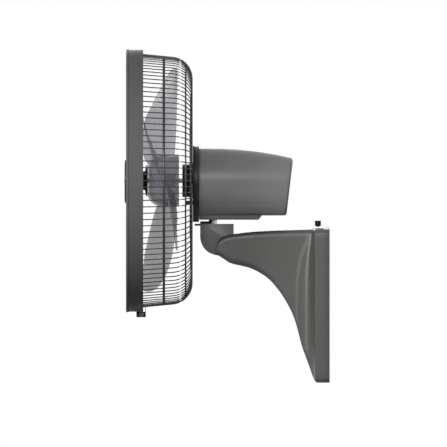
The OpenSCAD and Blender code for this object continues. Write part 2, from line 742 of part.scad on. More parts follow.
// Motor cover behind the guard, with a skirt down to the tray
cover_t = 3;
skirt_w = 80;
skirt_z = 142.3;
seat_d = 60;
seat_out = 235.2;
boss_d = 38;
boss_end = 249.4;
cover_bore = 16;
bell_boss_d = 29;
bell_boss_front = 231.6;
peg_d = 6.5;
peg_drop = 37.25;
peg_end = 246;
cover_screw_r = 34;
cover_screw_d = 4;
cover_screw_head = 8;
cover_screw_head_h = 1.8;
cover_front = cover_out;
cover_rear = cover_out - cover_depth;
module front_cover() color("black") difference() {
  union() {
    axle(cover_rear, cover_front, cover_d);
    translate([-skirt_w / 2, -cover_front, skirt_z])
      cube([skirt_w, cover_depth, axis_h - skirt_z - cover_d / 4]);
    axle(cover_front - over, seat_out, seat_d);
    axle(seat_out - over, boss_end, boss_d);
    translate([0, 0, -peg_drop]) axle(cover_front - over, peg_end, peg_d);
  }
  difference() {
    union() {
      axle(cover_rear - over, cover_front - cover_t, cover_d - 2 * cover_t);
      translate([-skirt_w / 2 + cover_t, -cover_front + cover_t, skirt_z + cover_t])
        cube([skirt_w - 2 * cover_t, cover_depth, axis_h - skirt_z - cover_d / 4]);
    }
    for (side = [-1, 1]) outward(side * skirt_screw_x, skirt_screw_z, cover_rear, cover_front, tray_post_d);
  }
  axle(cover_rear, boss_end + over, cover_bore);
  axle(cover_rear, bell_boss_front + 2 * gap, bell_boss_d + 2 * gap);
  around(4, 45) translate([0, 0, cover_screw_r]) axle(cover_rear, cover_front + over, cover_screw_d + 2 * gap);
  for (side = [-1, 1])
    outward(side * skirt_screw_x, skirt_screw_z, cover_rear - over, skirt_screw_end + gap,
      tray_screw_d + 2 * fixed);
}

module cover_screws() color("silver") around(4, 45) translate([0, 0, cover_screw_r]) {
  axle(cover_front - 2 * cover_t, cover_front, cover_screw_d);
  axle(cover_front, cover_front + cover_screw_head_h, cover_screw_head);
}

// Motor housing: round on top, flat below with a crease along each side
bottom_z = tray_top;
crease_z = 166;
rear_lean_share = 0.118;
rear_round = 4.5;
housing_rings = 12;
round_steps = 4;
top_drop = 18;
roof_power = 2.1;
flank_power = 1.8;
side_shares = [[0.66, 0], [0.90, 1], [0.975, 1.9], [0.995, 2.9]];
// t runs from 0 at the front to 1 at the rear face, which leans
function rear_at(z) = housing_rear + rear_lean_share * (axis_h + housing_d / 2 - top_drop - z);
function roof(t) = axis_h + housing_d / 2 - top_drop * pow(t, roof_power);
function flank(t) = housing_d / 2 - (housing_d - housing_rear_w) / 2 * pow(t, flank_power);
function housing_half(w, low, top) = concat(
  [for (s = side_shares) [w * s.x, low + s.y * (crease_z - bottom_z)]],
  [for (a = [0 : 9 : 81]) [w * cos(a), axis_h + (top - axis_h) * sin(a)]]);
function housing_outline(w, low, top) = let (h = housing_half(w, low, top))
  concat(h, [[0, top]], [for (i = [len(h) - 1 : -1 : 0]) [-h[i].x, h[i].y]]);
function housing_ring(t, wall, inset) =
  [for (p = housing_outline(flank(t) - wall - inset, bottom_z + wall + inset, roof(t) - wall - inset))
    let (rear = rear_at(p.y) + wall, front = cover_rear + (wall > 0 ? over : 0))
      [p.x, t * (front - rear) - front, p.y]];
function rounded_rear(wall) = [for (i = [1 : round_steps]) let (a = 90 * i / round_steps)
  housing_ring(1 - rear_round * (1 - sin(a)) / (cover_rear - housing_rear), wall, rear_round * (1 - cos(a)))];
function housing_rings_of(wall) = concat(
  [for (i = [0 : housing_rings])
    housing_ring(i / housing_rings * (1 - rear_round / (cover_rear - housing_rear)), wall, 0)],
  rounded_rear(wall));
module housing_body(wall)
  loft(let (r = housing_rings_of(wall)) [for (i = [len(r) - 1 : -1 : 0]) r[i]]);
vent_n = 9;
vent_w = 3;
vent_pitch = 7;
vent_h = 52;
vent_low = 180;
belly_w = 56;
belly_rear = 113;
module motor_housing() color("dimgray") difference() {
  housing_body(0);
  housing_body(housing_wall);
  // Opening over the tray
  translate([-belly_w / 2, -cover_rear - over, bottom_z - over])
    cube([belly_w, cover_rear + over - belly_rear, housing_wall + 2 * over]);
  for (side = [-1, 1]) {
    upright(side * standoff_x, gear_out, bottom_z - over, bottom_z + housing_wall + over, standoff_d + 2 * gap);
    for (y = tray_screw_outs)
      upright(side * tray_screw_x, y, bottom_z - over, bottom_z + 2 * housing_wall, tray_screw_d + 2 * fixed);
  }
  // Cooling slots in the rear face
  for (i = [0 : vent_n - 1])
    translate([(i - (vent_n - 1) / 2) * vent_pitch - vent_w / 2, -housing_rear - 4 * rear_round, vent_low])
      cube([vent_w, 5 * rear_round, vent_h]);
}

// Motor, from front to rear: front bell, stator, rear bell
bell_d = 87;
bell_wall = 2.8;
bell_front = cover_front - cover_t;
stator_front = 195;
stator_rear = stator_front - stator_len;
bell_rear = 128;
bore_in = 48.4;
bolt_r = 38.2;
bolt_d = 4;
bell_boss_rear = 220;
boss_low = 152.6;
pivot_boss_d = 19;
upper_bush_d = 13;
bearing_front = 231;
rear_boss_end = 118;
bell_vent_d = 9;
bell_vent_r = 27.5;
bell_vent_n = 6;
bell_vent_turn = 15;
module bell_bolts(d) around(4) translate([0, 0, bolt_r]) axle(bell_rear - over, bell_front + over, d);
module front_bell() color("silver") difference() {
  union() {
    difference() {
      axle(stator_front, bell_front, bell_d);
      axle(stator_front - over, bell_front - bell_wall, bell_d - 2 * bell_wall);
    }
    axle(bell_boss_rear, bell_boss_front, bell_boss_d);
    difference() {
      upright(0, pivot_out, boss_low, axis_h - bell_d / 2 + bell_wall, pivot_boss_d);
      axle(stator_rear, bell_front, bell_d - 2 * bell_wall);
      axle(stator_rear, stator_front, bell_d);
    }
  }
  axle(bell_boss_rear - over, cover_front, cover_bore);
  axle(bearing_front - bearing_w, cover_front, bearing_d + 2 * fixed);
  bell_bolts(bolt_d + 2 * fixed);
  around(4, 45) translate([0, 0, cover_screw_r])
    axle(bell_front - 2 * bell_wall, bell_front + over, cover_screw_d + 2 * fixed);
  upright(0, pivot_out, boss_low - over, post_end + gap, upper_bush_d + 2 * fixed);
}

module rear_bell() color("silver") difference() {
  union() {
    difference() {
      axle(bell_rear, stator_rear, bell_d);
      axle(bell_rear + bell_wall, stator_rear + over, bell_d - 2 * bell_wall);
    }
    axle(rear_boss_end, bell_rear + bell_wall, bell_boss_d);
  }
  axle(rear_boss_end + bell_wall, bell_rear + bell_wall + over, bearing_d + 2 * fixed);
  axle(rear_boss_end - over, bell_rear, cover_bore);
  bell_bolts(bolt_d + 2 * fixed);
  around(bell_vent_n, bell_vent_turn) translate([0, 0, bell_vent_r])
    axle(bell_rear - over, bell_rear + bell_wall + over, bell_vent_d);
}

bolt_head_d = 7;
bolt_head_h = 2.4;
module tie_bolts() color("silver") around(4) translate([0, 0, bolt_r]) {
  axle(bell_rear, bell_front - gap, bolt_d);
  axle(bell_rear - bolt_head_h, bell_rear, bolt_head_d);
}

module stator_core() color("slategray") difference() {
  tube(stator_rear, stator_front, stator_d, bore_in);
  bell_bolts(bolt_d + 2 * fixed);
}

coil_d = 71;
coil_bore = 54;
coil_len = 14;
module windings() color("chocolate") {
  tube(stator_front, stator_front + coil_len, coil_d, coil_bore);
  tube(stator_rear - coil_len, stator_rear, coil_d, coil_bore);
}

module bearings() color("gainsboro") {
  tube(bearing_front - bearing_w, bearing_front, bearing_d, shaft_d + 2 * running);
  tube(rear_boss_end + bell_wall, rear_boss_end + bell_wall + bearing_w, bearing_d, shaft_d + 2 * running);
}

cap_w = 36;
cap_deep = 26;
cap_h = 20;
cap_out = 84;
cap_z = bottom_z + housing_wall;
cap_tab_d = 2;
cap_tab_h = 3;
module capacitor() color("ivory") {
  translate([-cap_w / 2, -cap_out - cap_deep, cap_z]) cube([cap_w, cap_deep, cap_h]);
  for (side = [-1, 1])
    upright(side * cap_w / 4, cap_out + cap_deep / 2, cap_z + cap_h / 2, cap_z + cap_h + cap_tab_h, cap_tab_d);
}

// Guards: each wire is cut from one outline that bends with it
guard_inset = 7.2;
guard_rear_r = ring_d / 2 - guard_inset;
flare_angle = 5.5;
wire_gap = 0.02;
centre_plate_d = 92;
centre_plate_t = 1.2;
step_from = 97.5;
step_to = 93;
wire_tip = 44;
rim_play = 0.25;
rim_rear_out = ring_rear + ring_wall + rim_play + rim_d / 2;
// The side wires run past the middle of the rims
wire_past = 1.4;
wire_end = rim_rear_out + wire_past;
tangent_out = guard_back + guard_corner * (1 - sin(flare_angle));
corner_out = guard_back + guard_corner;
corner_r = guard_rear_r - guard_corner * cos(flare_angle) - (ring_rear - tangent_out) * tan(flare_angle);
corner_step = 9;
wire_rear = guard_back + wire_d / 2;
wire_front = seat_out + centre_plate_t + wire_d / 2 + wire_gap;
function corner(radius) =
  [for (a = [0 : corner_step : 90 - flare_angle]) [corner_r + radius * sin(a), corner_out - radius * cos(a)]];
function reversed(list) = [for (i = [len(list) - 1 : -1 : 0]) list[i]];
function corner_end(radius) = [corner_r + radius * cos(flare_angle), corner_out - radius * sin(flare_angle)];
function wire_line(radius) =
  let (e = corner_end(radius)) [e, [e.x + (wire_end - e.y) * tan(flare_angle), wire_end]];
// Radius of the side wires' middle line at a distance from the wall
function side_r(out) = let (e = corner_end(guard_corner - wire_d / 2)) e.x + (out - e.y) * tan(flare_angle);
module wire(points) translate([0, 0, axis_h]) rotate([90, 0, 90])
  linear_extrude(wire_d, center = true) polygon([for (p = points) [-p.y, p.x]]);
module rear_side_wires() color("dimgray") around(wire_n) wire(concat(
  corner(guard_corner), wire_line(guard_corner),
  reversed(wire_line(guard_corner - wire_d)), reversed(corner(guard_corner - wire_d))));

function band(line, w) =
  concat([for (p = line) [p.x, p.y - w / 2]], [for (p = reversed(line)) [p.x, p.y + w / 2]]);
module rear_back_wires() color("dimgray") around(wire_n) wire(band(
  [[wire_tip, wire_front], [step_to, wire_front], [step_from, wire_rear], [corner_r, wire_rear]], wire_d));

// Support rings inside the rear guard, and its rim
side_ring_out = 281.9;
corner_ring_angle = 42;
back_ring_shares = [0.0275, 0.3605, 0.6882];
back_ring_radii = [for (s = back_ring_shares) step_from + s * (corner_r - step_from)];
module rear_rings() color("dimgray") {
  ring(side_ring_out, side_r(side_ring_out) - wire_d / 2 / cos(flare_angle) - rim_d / 2 - wire_gap, rim_d);
  let (rho = guard_corner - wire_d - hoop_d / 2 - wire_gap * 4)
    ring(corner_out - rho * cos(corner_ring_angle), corner_r + rho * sin(corner_ring_angle), hoop_d);
  for (r = back_ring_radii) ring(wire_rear + wire_d / 2 + hoop_d / 2 + wire_gap, r, hoop_d);
  ring(rim_rear_out, side_r(rim_rear_out) + wire_d / 2 / cos(flare_angle) + rim_d / 2 + 2 * wire_gap, rim_d);
}

module guard_plate() color("dimgray") difference() {
  tube(seat_out, seat_out + centre_plate_t, centre_plate_d, boss_d + 2 * gap);
  translate([0, 0, -peg_drop]) axle(seat_out - over, seat_out + centre_plate_t + over, peg_d + 2 * gap);
}

// Front guard: flat wires, whose ends and rim lie behind the ring's front lip
front_face = ring_rear + ring_depth;
wire_set_back = 2.7;
front_wire = front_face - wire_set_back;
front_rim_out = front_wire - wire_d / 2 - rim_d / 2 - wire_gap;
front_rim_r = side_r(rim_rear_out) + wire_d / 2 + rim_d / 2 + 2 * wire_gap;
front_wire_end = front_rim_r + rim_d / 4;
// The wires' inner ends stop just inside the badge
wire_under = 0.5;
wire_start = badge_d / 2 - wire_under;
module front_wires() color("dimgray") around(wire_n)
  wire(band([[wire_start, front_wire], [front_wire_end, front_wire]], wire_d));
front_ring_shares = [0.2033, 0.4243, 0.6453, 0.8386];
module front_rings() color("dimgray") {
  for (s = front_ring_shares)
    ring(front_wire - wire_d / 2 - hoop_d / 2 - wire_gap, wire_start + s * (front_wire_end - wire_start), hoop_d);
  ring(front_rim_out, front_rim_r, rim_d);
}

badge_proud = 5.2;
badge_out = front_wire + badge_proud;
badge_t = badge_out - front_wire - wire_d / 2 - wire_gap;
front_plate_t = 1.5;
stud_cap_d = 8;
plate_front = front_wire - wire_d / 2 - wire_gap;
plate_rear = plate_front - front_plate_t;
module front_plate() color("dimgray") tube(plate_rear, plate_front, badge_d, stud_cap_d);

badge_dome = 0.7;
module badge() color("midnightblue") {
  turned([[0, badge_out - badge_t], [badge_d / 2, badge_out - badge_t], [badge_d / 2, badge_out - badge_t / 2],
    [badge_d / 2 - badge_t / 2, badge_out], [stud_cap_d / 2, badge_out], [0, badge_out + badge_dome]]);
  // Stub and rivet that hold the plate behind the wires
  axle(plate_rear, badge_out - badge_t + over, stud_cap_d - 2 * fixed);
  axle(plate_rear - front_plate_t, plate_rear, 2 * stud_cap_d);
}

// Guard ring: a split channel with a groove for each rim
bead = 1.1;
bead_depth = 5;
lip_w = 10.2;
rear_lip_w = 6.1;
split = 2;
ring_r = ring_d / 2;
lip_r = ring_r - lip_w;
rear_lip_r = ring_r - rear_lip_w;
ring_in = ring_r - ring_wall;
rim_ribs = [rim_rear_out + rim_d / 2 + gap / 2, front_rim_out - rim_d / 2 - gap / 2 - ring_wall];
module guard_ring() color("dimgray") difference() {
  turned(concat([[lip_r, front_face], [ring_r + bead - ring_wall / 2, front_face],
    [ring_r + bead, front_face - ring_wall / 2], [ring_r + bead, front_face - bead_depth + bead],
    [ring_r, front_face - bead_depth], [ring_r, ring_rear], [rear_lip_r, ring_rear],
    [rear_lip_r, ring_rear + ring_wall], [ring_in, ring_rear + ring_wall]],
    [for (out = rim_ribs) each [[ring_in, out], [rear_lip_r, out], [rear_lip_r, out + ring_wall],
      [ring_in, out + ring_wall]]],
    [[ring_in, front_face - ring_wall], [lip_r, front_face - ring_wall]]));
  translate([-split / 2, -front_face - over, axis_h - ring_r - 2 * bead])
    cube([split, ring_depth + 2 * over, 4 * rim_d]);
}

// Clamp at the ring's split
clip_behind = 4.45;
clip_out = ring_rear - clip_behind;
clip_deep = 16;
clip_drop = 9.4;
ring_low = axis_h - ring_r;
clip_low = ring_low - clip_drop;
clip_w = 18;
clip_screw_in = 7.3;
clip_screw_out = clip_out + clip_screw_in;
clip_screw_z = ring_low - clip_drop / 2;
clip_screw_d = 4;
clip_head_d = 8.8;
clip_head_h = 3;
clip_nut_d = 7;
module across_clip(from, to, d)
  translate([from, -clip_screw_out, clip_screw_z]) rotate([0, 90, 0]) cylinder(h = to - from, d = d);
module ring_clip() color("black") difference() {
  translate([-clip_w / 2, -clip_out - clip_deep, clip_low]) cube([clip_w, clip_deep, clip_drop - fixed]);
  axle(clip_out - over, clip_out + clip_deep + over, 2 * (ring_r + fixed));
  translate([-split / 2, -clip_out - clip_deep - over, clip_low - over])
    cube([split, clip_deep + 2 * over, clip_drop + 2 * over]);
  across_clip(-clip_w, clip_w, clip_screw_d + 2 * fixed);
}
module ring_screw() color("silver") {
  across_clip(-clip_w / 2 - clip_head_h, clip_w / 2, clip_screw_d);
  across_clip(clip_w / 2, clip_w / 2 + clip_head_h, clip_head_d);
  across_clip(-clip_w / 2 - clip_head_h, -clip_w / 2, clip_nut_d);
}

// Strap from the rear guard down to the clamp
catch_w = 8;
catch_t = 1;
catch_out = clip_out + gap / 2;
catch_top = axis_h - side_r(catch_out + catch_t) - wire_d / 2 - running;
catch_low = ring_low + gap;
module guard_catch() color("dimgray") side_slab([[catch_out, catch_top], [catch_out + catch_t, catch_top],
  [catch_out + catch_t, catch_low], [catch_out, catch_low]], catch_w);

nut_front = 250.4;
guard_nut_d = 55.8;
knurl_n = 36;
knurl_d = 2.4;
knurl_from = 238.6;
nut_bore = 25.5;
module guard_nut() color("black") difference() {
  axle(seat_out + centre_plate_t, nut_front, guard_nut_d);
  axle(seat_out, boss_end + gap, boss_d + 2 * running);
  axle(seat_out, nut_front + over, nut_bore);
  around(knurl_n) translate([0, 0, guard_nut_d / 2 + knurl_d / 4]) axle(knurl_from, nut_front + over, knurl_d);
}

// Rotor
shaft_front = 320;
shaft_rear = 112;
pin_out = 266;
drive_pin_d = 3;
drive_pin_len = 26;
module across_shaft(width, d)
  translate([0, -pin_out, axis_h]) rotate([0, 90, 0]) cylinder(h = width, d = d, center = true);
module motor_shaft() color("silver") difference() {
  axle(shaft_rear, shaft_front, shaft_d);
  across_shaft(2 * shaft_d, drive_pin_d + 2 * fixed);
}

rotor_past = 1;
end_ring_t = 2;
end_ring_bore = 33;
module rotor_core() color("slategray") {
  tube(stator_rear - rotor_past, stator_front + rotor_past, rotor_d, shaft_d + 2 * fixed);
  for (y = [stator_rear - rotor_past - end_ring_t, stator_front + rotor_past])
    tube(y, y + end_ring_t, rotor_d, end_ring_bore);
}

module drive_pin() color("silver") across_shaft(drive_pin_len, drive_pin_d);

// Fan blade: three blades on a domed hub
hub_front = hub_rear + hub_depth;
hub_wall = 3;
hub_flat_r = 22;
hub_round = 27;
hub_boss_d = 22;
hub_boss_rear = 262;
blade_rear = 259.5;
blade_deep = 58;
blade_spread_angle = 80;
blade_turn_angle = 120;
root_in = hub_d / 2 - hub_wall / 2;
dome_r = hub_d / 2 - hub_flat_r;
blade_reach = sweep_d / 2;
// Rows across a blade from its trailing to its leading edge: the turn about the axle as a share of
// the spread, then the radius and the depth of the inner end and of the outer end, as shares
blade_shares = [
  [-0.4938, 0.9115, 0.0052, 0.974, 0], [-0.475, 0.6927, 0.019, 0.9896, 0.0121],
  [-0.45, 0.4984, 0.0362, 0.9922, 0.0259], [-0.4125, 0.351, 0.0603, 0.9948, 0.05],
  [-0.375, 0.2719, 0.0776, 0.9964, 0.0741], [-0.3375, 0, 0.0914, 0.9974, 0.0948],
  [-0.275, 0, 0.1284, 0.9992, 0.1309], [-0.2, 0, 0.1824, 1, 0.1836], [-0.125, 0, 0.2432, 1, 0.2546],
  [-0.05, 0, 0.3046, 1, 0.3343], [0.025, 0, 0.3679, 1, 0.4241], [0.1, 0, 0.4335, 1, 0.5251],
  [0.175, 0, 0.5061, 0.9991, 0.6405], [0.25, 0.2261, 0.5705, 0.9959, 0.7705],
  [0.3125, 0.2561, 0.612, 0.9885, 0.8913], [0.3625, 0.288, 0.6473, 0.9785, 0.9507],
  [0.4125, 0.3333, 0.6862, 0.9583, 0.9845], [0.4625, 0.3906, 0.7362, 0.9115, 1],
  [0.5125, 0.4583, 0.7845, 0.8125, 0.9828], [0.55, 0.5312, 0.8362, 0.6667, 0.931]];
function row_point(turn, radius, out) = [radius * cos(turn), -out, radius * sin(turn)];
module blade() loft([for (s = blade_shares)
  let (turn = s[0] * blade_spread_angle, near = max(root_in, s[1] * blade_reach), far = s[3] * blade_reach,
    near_out = blade_rear + s[2] * blade_deep, far_out = blade_rear + s[4] * blade_deep)
  [row_point(turn, near, near_out + blade_t / 2), row_point(turn, far, far_out + blade_t / 2),
    row_point(turn, far, far_out - blade_t / 2), row_point(turn, near, near_out - blade_t / 2)]]);
module fan_blade() color("thistle") {
  difference() {
    turned(concat([[shaft_d / 2 + fixed, hub_boss_rear], [hub_boss_d / 2, hub_boss_rear],
      [hub_boss_d / 2, hub_front - hub_wall], [hub_flat_r, hub_front - hub_wall]],
      [for (a = [80 : -10 : 0])
        [hub_flat_r - hub_wall + dome_r * cos(a), hub_front - hub_round + (hub_round - hub_wall) * sin(a)]],
      [[hub_d / 2 - hub_wall, hub_rear], [hub_d / 2, hub_rear]],
      [for (a = [0 : 10 : 90]) [hub_flat_r + dome_r * cos(a), hub_front - hub_round + hub_round * sin(a)]],
      [[shaft_d / 2 + fixed, hub_front]]));
    // Seat for the drive pin, open to the rear
    across_shaft(drive_pin_len + gap, drive_pin_d + 2 * fixed);
    translate([-drive_pin_len / 2, -pin_out, axis_h - drive_pin_d / 2 - fixed])
      cube([drive_pin_len, pin_out - hub_rear, drive_pin_d + 2 * fixed]);
  }
  for (i = [0 : blade_n - 1]) translate([0, 0, axis_h]) rotate([0, -i * 360 / blade_n - blade_turn_angle, 0])
    blade();
}

nut_flange_d = 52.6;
nut_flange_t = 2.4;
blade_nut_d = 31.8;
blade_nut_end = 325;
grip_n = 12;
grip_d = 3;
module blade_nut() color("black") difference() {
  turned([[0, hub_front], [nut_flange_d / 2, hub_front], [nut_flange_d / 2, hub_front + nut_flange_t],
    [blade_nut_d / 2, hub_front + 2 * nut_flange_t], [blade_nut_d / 2, blade_nut_end - nut_flange_t],
    [blade_nut_d / 2 - nut_flange_t, blade_nut_end], [0, blade_nut_end]]);
  axle(hub_front - over, shaft_front + gap, shaft_d + 2 * fixed);
  around(grip_n) translate([0, 0, blade_nut_d / 2 + grip_d / 4])
    axle(hub_front + 2 * nut_flange_t, blade_nut_end + over, grip_d);
}

wall_plate();
arm_frame();
bracket_shell();
shell_screws();
lock_nut();
lock_knob();
tilt_pin();
tilt_washers();
control_panel();
control_board();
board_switches();
receiver_window();
indicator_lenses();
power_button();
speed_button();
swing_button();
timer_button();
terminal_block();
cord_grommet();
neck_housing();
tilt_clamp_screw();
pivot_post();
thrust_washer();
pivot_set_screw();
link_stud();
swing_plate();
pivot_bushes();
pivot_clip();
swing_motor();
crank();
drive_link();
tray_screws();
front_cover();
cover_screws();
motor_housing();
front_bell();
rear_bell();
tie_bolts();
stator_core();
windings();
bearings();
capacitor();
guard_plate();
rear_side_wires();
rear_back_wires();
rear_rings();
front_wires();
front_rings();
front_plate();
guard_ring();
ring_clip();
ring_screw();
guard_catch();
guard_nut();
badge();
motor_shaft();
rotor_core();
drive_pin();
fan_blade();
blade_nut();
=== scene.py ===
"""Looks of a wall mounted fan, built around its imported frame.

Metres; +Z is up, -Y is out from the wall and +X is the near side.
"""
import json
import math

import bmesh
import bpy
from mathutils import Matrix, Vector


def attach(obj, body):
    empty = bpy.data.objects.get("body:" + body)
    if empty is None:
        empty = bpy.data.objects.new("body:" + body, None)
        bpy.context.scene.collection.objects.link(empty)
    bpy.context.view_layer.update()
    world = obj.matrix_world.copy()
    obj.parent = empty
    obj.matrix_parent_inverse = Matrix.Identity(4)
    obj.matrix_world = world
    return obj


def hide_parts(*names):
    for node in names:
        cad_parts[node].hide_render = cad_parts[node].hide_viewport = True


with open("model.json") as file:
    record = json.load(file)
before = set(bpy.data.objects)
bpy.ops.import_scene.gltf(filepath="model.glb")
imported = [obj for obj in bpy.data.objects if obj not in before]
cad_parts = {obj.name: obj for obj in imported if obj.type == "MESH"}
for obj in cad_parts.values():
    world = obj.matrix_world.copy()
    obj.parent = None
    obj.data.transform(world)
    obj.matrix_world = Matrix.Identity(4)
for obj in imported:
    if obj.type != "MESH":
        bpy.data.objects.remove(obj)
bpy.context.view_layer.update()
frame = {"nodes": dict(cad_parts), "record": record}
nodes = frame["nodes"]
MM = 0.001

# What several pieces share
AXIS_Z = 0.2125
WIRE_N = 120
WIRE_R = 0.95 * MM
SMOOTH = math.radians(32)
TUBE_SMOOTH = math.radians(60)
BEVEL_FROM = math.radians(30)
BEVEL_SEGMENTS = 2
ROD_SIDES = 32
# Corners of a frame node that are one, and faces of it that are level with each other
MERGE = 0.003 * MM
FLAT = math.radians(0.3)


# ---------------------------------------------------------------- materials

def linear(r, g, b):
    """A colour as seen on screen, 0 to 255, as the shader wants it."""
    def one(c):
        c /= 255
        return c / 12.92 if c <= 0.04045 else ((c + 0.055) / 1.055) ** 2.4
    return (one(r), one(g), one(b), 1.0)


def shade(color, factor):
    return tuple(min(1.0, c * factor) for c in color[:3]) + (1.0,)


COAT_ROUGH = 0.08
ROUGH_LEAST = 0.02
# Inputs and outputs of a colour mix, by their places
MIX_FACTOR, MIX_A, MIX_B, MIX_RESULT = 0, 6, 7, 2


class Finish:
    """One procedural material: colour that drifts a little, grain as bump, and roughness that varies."""

    def __init__(self, name, color, rough, metallic=0.0, drift=0.06, drift_size=0.05, grain=0.0008,
                 grain_depth=0.00004, rough_drift=0.08, coat=0.0, alpha=1.0, specular=0.5):
        self.material = bpy.data.materials.new(name)
        self.material.use_nodes = True
        self.tree = self.material.node_tree
        self.tree.nodes.clear()
        out = self.node("ShaderNodeOutputMaterial")
        bsdf = self.node("ShaderNodeBsdfPrincipled")
        self.link(bsdf, "BSDF", out, "Surface")
        self.place = self.node("ShaderNodeTexCoord")
        bsdf.inputs["Metallic"].default_value = metallic
        bsdf.inputs["Coat Weight"].default_value = coat
        bsdf.inputs["Coat Roughness"].default_value = COAT_ROUGH
        bsdf.inputs["Specular IOR Level"].default_value = specular
        bsdf.inputs["Alpha"].default_value = alpha
        drifting = self.noise(1 / drift_size, 3)
        tint = self.mix(drifting, shade(color, 1 - drift), shade(color, 1 + drift))
        self.link(tint, MIX_RESULT, bsdf, "Base Color")
        spread = self.node("ShaderNodeMapRange")
        spread.inputs["To Min"].default_value = max(ROUGH_LEAST, rough - rough_drift)
        spread.inputs["To Max"].default_value = min(1.0, rough + rough_drift)
        self.link(self.noise(3 / drift_size, 4), "Fac", spread, "Value")
        self.link(spread, "Result", bsdf, "Roughness")
        bump = self.node("ShaderNodeBump")
        bump.inputs["Distance"].default_value = grain_depth
        bump.inputs["Strength"].default_value = 1.0
        self.link(self.noise(1 / grain, 2), "Fac", bump, "Height")
        self.link(bump, "Normal", bsdf, "Normal")

    def node(self, kind):
        return self.tree.nodes.new(kind)

    def link(self, a, out, b, into):
        self.tree.links.new(a.outputs[out], b.inputs[into])

    def noise(self, scale, detail):
        noise = self.node("ShaderNodeTexNoise")
        noise.inputs["Scale"].default_value = scale
        noise.inputs["Detail"].default_value = detail
        self.link(self.place, "Object", noise, "Vector")
        return noise

    def mix(self, factor, a, b):
        mix = self.node("ShaderNodeMix")
        mix.data_type = "RGBA"
        mix.inputs[MIX_A].default_value = a
        mix.inputs[MIX_B].default_value = b
        self.link(factor, "Fac", mix, MIX_FACTOR)
        return mix


def finish(name, color, rough, **more):
    return Finish(name, color, rough, **more).material


FINISHES = {
    "bracket_grey": finish("bracket_grey", linear(74, 75, 72), 0.38, grain_depth=0.000005),
    "housing_grey": finish("housing_grey", linear(120, 120, 120), 0.36),
    "neck_grey": finish("neck_grey", linear(92, 92, 91), 0.4),
    "wire_grey": finish("wire_grey", linear(42, 42, 44), 0.34, drift=0.1, drift_size=0.02, grain=0.0004),
    "ring_grey": finish("ring_grey", linear(95, 95, 97), 0.5, specular=0.05, grain_depth=0.00002),
    "cover_black": finish("cover_black", linear(48, 48, 50), 0.34, specular=0.25),
    "black_plastic": finish("black_plastic", linear(9, 9, 10), 0.3, specular=0.12, grain_depth=0.00002),
    "badge_dark": finish("badge_dark", linear(32, 36, 56), 0.2, specular=0.25, grain_depth=0.00001),
    "blade_smoke": finish("blade_smoke", linear(153, 149, 161), 0.42, alpha=0.5, specular=0.15,
                          grain_depth=0.00001),
    "button_grey": finish("button_grey", linear(196, 196, 194), 0.45),
    "panel_dark": finish("panel_dark", linear(58, 60, 58), 0.4),
    "zinc_steel": finish("zinc_steel", linear(176, 177, 180), 0.36, metallic=1.0, drift_size=0.01),
    "chrome": finish("chrome", linear(196, 196, 200), 0.2, metallic=1.0, grain_depth=0.000005, rough_drift=0.03),
    "dark_steel": finish("dark_steel", linear(70, 70, 72), 0.38, metallic=1.0),
    "lamination": finish("lamination", linear(96, 98, 104), 0.55, metallic=0.8),
    "cast_alloy": finish("cast_alloy", linear(178, 179, 182), 0.5, metallic=1.0, grain=0.0012),
    "bronze": finish("bronze", linear(184, 142, 84), 0.35, metallic=1.0),
    "copper_wire": finish("copper_wire", linear(160, 84, 48), 0.35, metallic=0.8),
    "board_green": finish("board_green", linear(32, 96, 56), 0.4),
    "red_window": finish("red_window", linear(80, 14, 18), 0.12, coat=0.5, grain_depth=0.000005),
    "ivory_plastic": finish("ivory_plastic", linear(214, 208, 190), 0.5),
    "rubber_black": finish("rubber_black", linear(30, 30, 31), 0.7, grain=0.0005),
}
SLOT_OF = {row["node"]: row["material_slot"] for row in frame["record"]["subparts"]}
BODY_OF = {node: body for body, held in frame["record"]["behaviour"]["bodies"].items() for node in held}


# ---------------------------------------------------------------- mesh helpers

def smooth(mesh, angle=SMOOTH):
    for polygon in mesh.polygons:
        polygon.use_smooth = True
    mesh.set_sharp_from_angle(angle=angle)


def new_piece(name, verts, faces, angle=SMOOTH):
    mesh = bpy.data.meshes.new(name)
    mesh.from_pydata(verts, [], faces)
    mesh.update()
    smooth(mesh, angle)
    piece = bpy.data.objects.new(name, mesh)
    bpy.context.scene.collection.objects.link(piece)
    return piece


def dress(piece, body, slot, *replaced):
    piece.data.materials.clear()
    piece.data.materials.append(FINISHES[slot])
    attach(piece, body)
    if replaced:
        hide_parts(*replaced)
    return piece


def polar(r, out, angle):
    """A point by its radius from the fan axis, distance from the wall and angle from the top."""
    return Vector((r * math.sin(angle), -out, AXIS_Z + r * math.cos(angle)))


def arc(center, radius, start, end, steps):
    return [(center[0] + radius * math.sin(a), center[1] - radius * math.cos(a))
            for a in (start + (end - start) * i / steps for i in range(steps + 1))]


def tubes(name, paths, sides=8, closed=False):
    """Round bars of given radii along lists of points, all in one mesh."""
    verts, faces = [], []
    for path, radius in paths:
        n = len(path)
        first = len(verts)
        for i, point in enumerate(path):
            ahead = path[(i + 1) % n] if closed else path[min(i + 1, n - 1)]
            behind = path[i - 1] if closed else path[max(i - 1, 0)]
            along = (ahead - behind).normalized()
            beside = Vector((0, -1, 0)) if abs(along.y) < 0.9 else Vector((point.x, 0, point.z - AXIS_Z))
            across = along.cross(beside)
            across.normalize()
            up = across.cross(along)
            for k in range(sides):
                turn = 2 * math.pi * k / sides
                verts.append(point + radius * (math.cos(turn) * across + math.sin(turn) * up))
        for i in range(n if closed else n - 1):
            a, b = first + i * sides, first + (i + 1) % n * sides
            for k in range(sides):
                faces.append((a + k, a + (k + 1) % sides, b + (k + 1) % sides, b + k))
        if not closed:
            faces.append(tuple(first + k for k in reversed(range(sides))))
            faces.append(tuple(first + (n - 1) * sides + k for k in range(sides)))
    return new_piece(name, verts, faces, TUBE_SMOOTH)


# ---------------------------------------------------------------- lofted shells and what is cut from them

